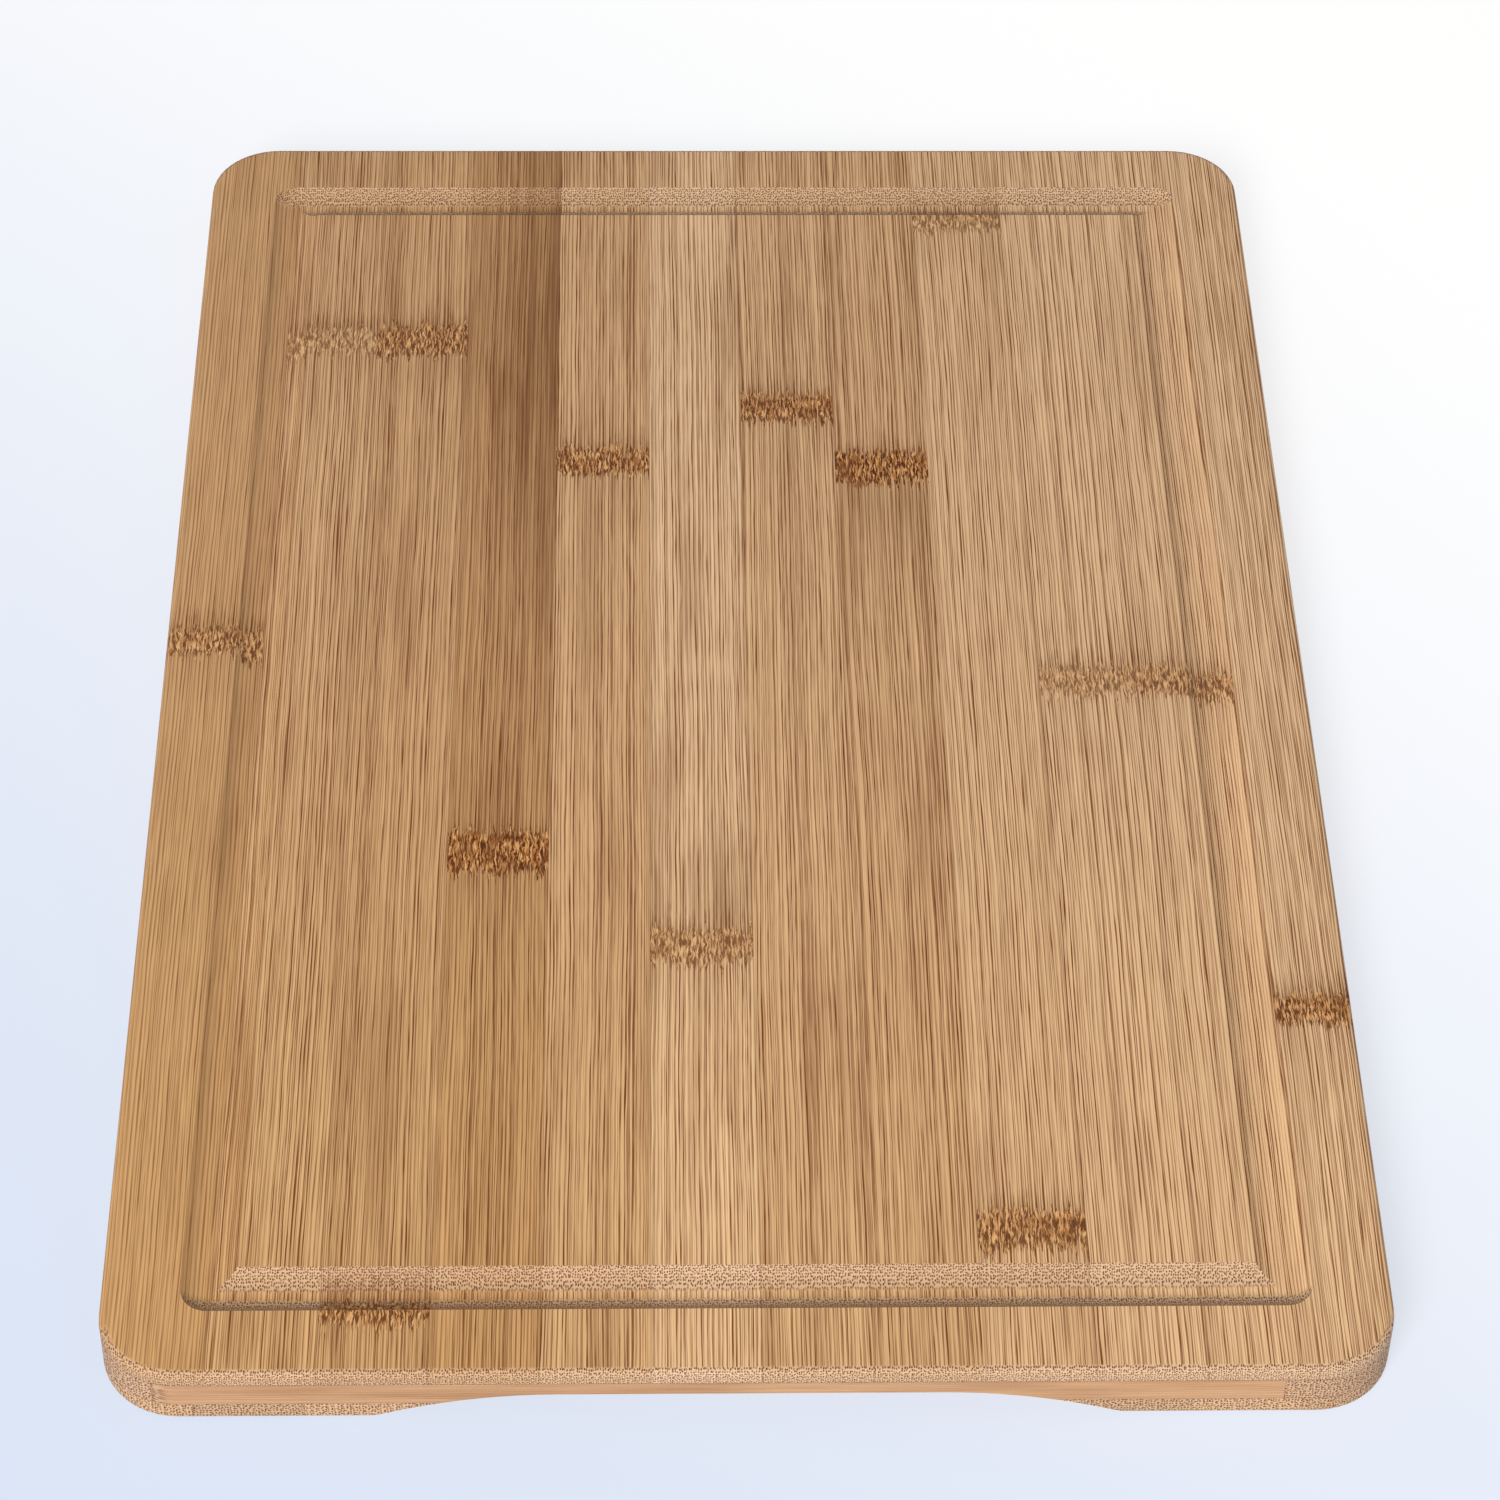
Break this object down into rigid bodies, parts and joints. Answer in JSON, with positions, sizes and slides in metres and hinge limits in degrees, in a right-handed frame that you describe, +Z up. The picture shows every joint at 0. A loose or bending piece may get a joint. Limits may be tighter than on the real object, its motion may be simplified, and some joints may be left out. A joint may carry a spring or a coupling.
{
  "type": "cutting board",
  "caption": "Flat rectangular laminated bamboo cutting board with rounded corners, a juice groove round the top and a finger grip under each short edge.",
  "frame": {"origin": "centre of the underside, on the surface that the board rests on", "axes": "+Z up out of the grooved top, +Y along the long side towards the back edge, +X across the board to the right"},
  "size_m": [0.305, 0.457, 0.017],
  "materials": {
    "top_bamboo": "caramelised bamboo strips along the board, oiled to a satin finish",
    "core_bamboo": "bamboo core slats across the board, satin edges",
    "bottom_bamboo": "caramelised bamboo strips along the board, satin finish"
  },
  "bodies": {
    "root": {"top_strip_01": "top_bamboo", "top_strip_02": "top_bamboo", "top_strip_03": "top_bamboo", "top_strip_04": "top_bamboo", "top_strip_05": "top_bamboo", "top_strip_06": "top_bamboo", "top_strip_07": "top_bamboo", "top_strip_08": "top_bamboo", "top_strip_09": "top_bamboo", "top_strip_10": "top_bamboo", "top_strip_11": "top_bamboo", "top_strip_12": "top_bamboo", "core_rail_left": "core_bamboo", "core_rail_right": "core_bamboo", "core_slat_01": "core_bamboo", "core_slat_02": "core_bamboo", "core_slat_03": "core_bamboo", "core_slat_04": "core_bamboo", "core_slat_05": "core_bamboo", "core_slat_06": "core_bamboo", "core_slat_07": "core_bamboo", "core_slat_08": "core_bamboo", "core_slat_09": "core_bamboo", "core_slat_10": "core_bamboo", "core_slat_11": "core_bamboo", "core_slat_12": "core_bamboo", "core_slat_13": "core_bamboo", "core_slat_14": "core_bamboo", "core_slat_15": "core_bamboo", "core_slat_16": "core_bamboo", "core_slat_17": "core_bamboo", "core_slat_18": "core_bamboo", "bottom_strip_01": "bottom_bamboo", "bottom_strip_02": "bottom_bamboo", "bottom_strip_03": "bottom_bamboo", "bottom_strip_04": "bottom_bamboo", "bottom_strip_05": "bottom_bamboo", "bottom_strip_06": "bottom_bamboo", "bottom_strip_07": "bottom_bamboo", "bottom_strip_08": "bottom_bamboo", "bottom_strip_09": "bottom_bamboo", "bottom_strip_10": "bottom_bamboo", "bottom_strip_11": "bottom_bamboo", "bottom_strip_12": "bottom_bamboo"}
  },
  "joints": []
}
